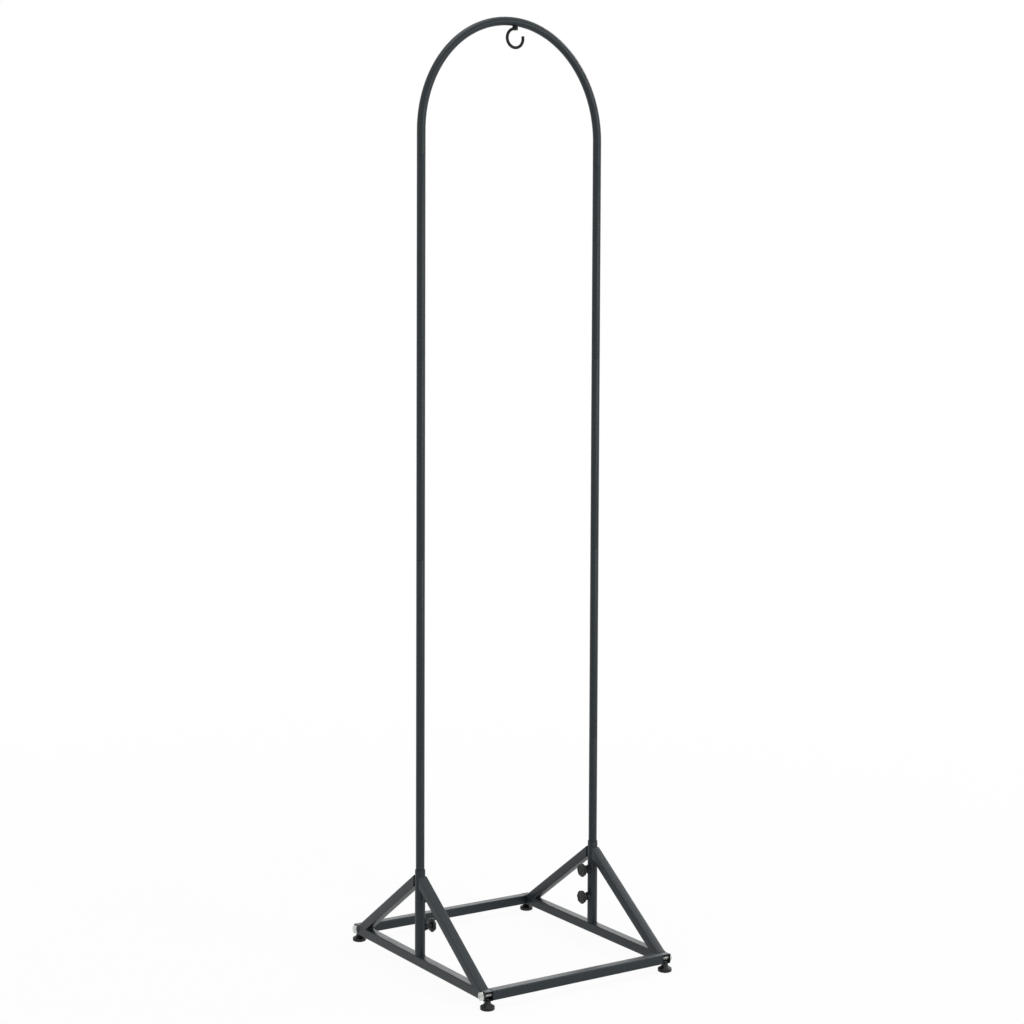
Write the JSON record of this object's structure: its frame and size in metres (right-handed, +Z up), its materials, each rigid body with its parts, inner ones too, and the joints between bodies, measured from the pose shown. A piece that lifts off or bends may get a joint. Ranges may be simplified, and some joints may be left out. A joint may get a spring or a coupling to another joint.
{
  "type": "hanging plant stand",
  "caption": "Tall tubular arch with an open hook under its crown, held in clamp sleeves on a knock-down base of triangular side frames and crossbars with levelling feet.",
  "frame": {"origin": "on the floor, at the middle of the four feet's bounding box", "axes": "+X across the arch from the left leg to the right leg, -Y the front, +Z up"},
  "size_m": [0.4956, 0.586, 2.1048],
  "materials": {
    "powder_coat": "anthracite powder coat, fine texture, satin",
    "zinc": "bright zinc plate",
    "black_plastic": "moulded, matt black",
    "black_steel": "black coated steel, satin"
  },
  "bodies": {
    "frame": {"left_rail": "powder_coat", "left_sleeve": "powder_coat", "left_front_brace": "powder_coat", "left_rear_brace": "powder_coat", "left_lower_weld_nut": "powder_coat", "left_upper_weld_nut": "powder_coat", "right_rail": "powder_coat", "right_sleeve": "powder_coat", "right_front_brace": "powder_coat", "right_rear_brace": "powder_coat", "right_lower_weld_nut": "powder_coat", "right_upper_weld_nut": "powder_coat", "front_crossbar": "powder_coat", "front_left_plug": "black_steel", "front_left_bolt": "zinc", "front_left_foot_nut": "black_steel", "front_right_plug": "black_steel", "front_right_bolt": "zinc", "front_right_foot_nut": "black_steel", "rear_crossbar": "powder_coat", "rear_left_plug": "black_steel", "rear_left_bolt": "zinc", "rear_left_foot_nut": "black_steel", "rear_right_plug": "black_steel", "rear_right_bolt": "zinc", "rear_right_foot_nut": "black_steel"},
    "mast": {"arch": "powder_coat", "left_leg_section_1": "powder_coat", "left_leg_section_2": "powder_coat", "left_leg_section_3": "powder_coat", "left_leg_section_4": "powder_coat", "right_leg_section_1": "powder_coat", "right_leg_section_2": "powder_coat", "right_leg_section_3": "powder_coat", "right_leg_section_4": "powder_coat", "hook_insert": "black_steel"},
    "hook": {"hook": "black_steel"},
    "left_lower_screw": {"left_lower_clamp_screw": "zinc"},
    "left_lower_knob": {"left_lower_knob": "black_plastic"},
    "left_upper_screw": {"left_upper_clamp_screw": "zinc"},
    "left_upper_knob": {"left_upper_knob": "black_plastic"},
    "right_lower_screw": {"right_lower_clamp_screw": "zinc"},
    "right_lower_knob": {"right_lower_knob": "black_plastic"},
    "right_upper_screw": {"right_upper_clamp_screw": "zinc"},
    "right_upper_knob": {"right_upper_knob": "black_plastic"},
    "front_left_foot_stud_body": {"front_left_foot_stud": "zinc"},
    "front_left_foot_pad_body": {"front_left_foot_pad": "black_plastic"},
    "front_right_foot_stud_body": {"front_right_foot_stud": "zinc"},
    "front_right_foot_pad_body": {"front_right_foot_pad": "black_plastic"},
    "rear_left_foot_stud_body": {"rear_left_foot_stud": "zinc"},
    "rear_left_foot_pad_body": {"rear_left_foot_pad": "black_plastic"},
    "rear_right_foot_stud_body": {"rear_right_foot_stud": "zinc"},
    "rear_right_foot_pad_body": {"rear_right_foot_pad": "black_plastic"}
  },
  "joints": [
    {"name": "mast_height", "type": "slide", "parent": "frame", "child": "mast", "axis": [0, 0, 1], "range_m": [0, 0.055]},
    {"name": "hook_turn", "type": "hinge", "parent": "mast", "child": "hook", "pos_m": [0.008, 0, 2.0593], "axis": [0, 0, -1], "range_deg": [0, 180]},
    {"name": "left_lower_screw_travel", "type": "slide", "parent": "frame", "child": "left_lower_screw", "axis": [1, 0, 0], "range_m": [0, 0.0033]},
    {"name": "left_lower_knob_turn", "type": "hinge", "parent": "left_lower_screw", "child": "left_lower_knob", "pos_m": [-0.202, 0, 0.1035], "axis": [1, 0, 0], "range_deg": [0, 720]},
    {"name": "left_upper_screw_travel", "type": "slide", "parent": "frame", "child": "left_upper_screw", "axis": [1, 0, 0], "range_m": [0, 0.0033]},
    {"name": "left_upper_knob_turn", "type": "hinge", "parent": "left_upper_screw", "child": "left_upper_knob", "pos_m": [-0.202, 0, 0.1665], "axis": [1, 0, 0], "range_deg": [0, 720]},
    {"name": "right_lower_screw_travel", "type": "slide", "parent": "frame", "child": "right_lower_screw", "axis": [-1, 0, 0], "range_m": [0, 0.0033]},
    {"name": "right_lower_knob_turn", "type": "hinge", "parent": "right_lower_screw", "child": "right_lower_knob", "pos_m": [0.202, 0, 0.1035], "axis": [-1, 0, 0], "range_deg": [0, 720]},
    {"name": "right_upper_screw_travel", "type": "slide", "parent": "frame", "child": "right_upper_screw", "axis": [-1, 0, 0], "range_m": [0, 0.0033]},
    {"name": "right_upper_knob_turn", "type": "hinge", "parent": "right_upper_screw", "child": "right_upper_knob", "pos_m": [0.202, 0, 0.1665], "axis": [-1, 0, 0], "range_deg": [0, 720]},
    {"name": "front_left_foot_travel", "type": "slide", "parent": "frame", "child": "front_left_foot_stud_body", "axis": [0, 0, -1], "range_m": [0, 0.00275]},
    {"name": "front_left_foot_turn", "type": "hinge", "parent": "front_left_foot_stud_body", "child": "front_left_foot_pad_body", "pos_m": [-0.232, -0.2775, 0.01], "axis": [0, 0, -1], "range_deg": [0, 720]},
    {"name": "front_right_foot_travel", "type": "slide", "parent": "frame", "child": "front_right_foot_stud_body", "axis": [0, 0, -1], "range_m": [0, 0.00275]},
    {"name": "front_right_foot_turn", "type": "hinge", "parent": "front_right_foot_stud_body", "child": "front_right_foot_pad_body", "pos_m": [0.232, -0.2775, 0.01], "axis": [0, 0, -1], "range_deg": [0, 720]},
    {"name": "rear_left_foot_travel", "type": "slide", "parent": "frame", "child": "rear_left_foot_stud_body", "axis": [0, 0, -1], "range_m": [0, 0.00275]},
    {"name": "rear_left_foot_turn", "type": "hinge", "parent": "rear_left_foot_stud_body", "child": "rear_left_foot_pad_body", "pos_m": [-0.232, 0.2775, 0.01], "axis": [0, 0, -1], "range_deg": [0, 720]},
    {"name": "rear_right_foot_travel", "type": "slide", "parent": "frame", "child": "rear_right_foot_stud_body", "axis": [0, 0, -1], "range_m": [0, 0.00275]},
    {"name": "rear_right_foot_turn", "type": "hinge", "parent": "rear_right_foot_stud_body", "child": "rear_right_foot_pad_body", "pos_m": [0.232, 0.2775, 0.01], "axis": [0, 0, -1], "range_deg": [0, 720]}
  ],
  "couplings": [
    {"joint": "left_lower_screw_travel", "follows": "left_lower_knob_turn", "m_per_rad": 0.00023873},
    {"joint": "left_upper_screw_travel", "follows": "left_upper_knob_turn", "m_per_rad": 0.00023873},
    {"joint": "right_lower_screw_travel", "follows": "right_lower_knob_turn", "m_per_rad": 0.00023873},
    {"joint": "right_upper_screw_travel", "follows": "right_upper_knob_turn", "m_per_rad": 0.00023873},
    {"joint": "front_left_foot_travel", "follows": "front_left_foot_turn", "m_per_rad": 0.00019894},
    {"joint": "front_right_foot_travel", "follows": "front_right_foot_turn", "m_per_rad": 0.00019894},
    {"joint": "rear_left_foot_travel", "follows": "rear_left_foot_turn", "m_per_rad": 0.00019894},
    {"joint": "rear_right_foot_travel", "follows": "rear_right_foot_turn", "m_per_rad": 0.00019894}
  ]
}
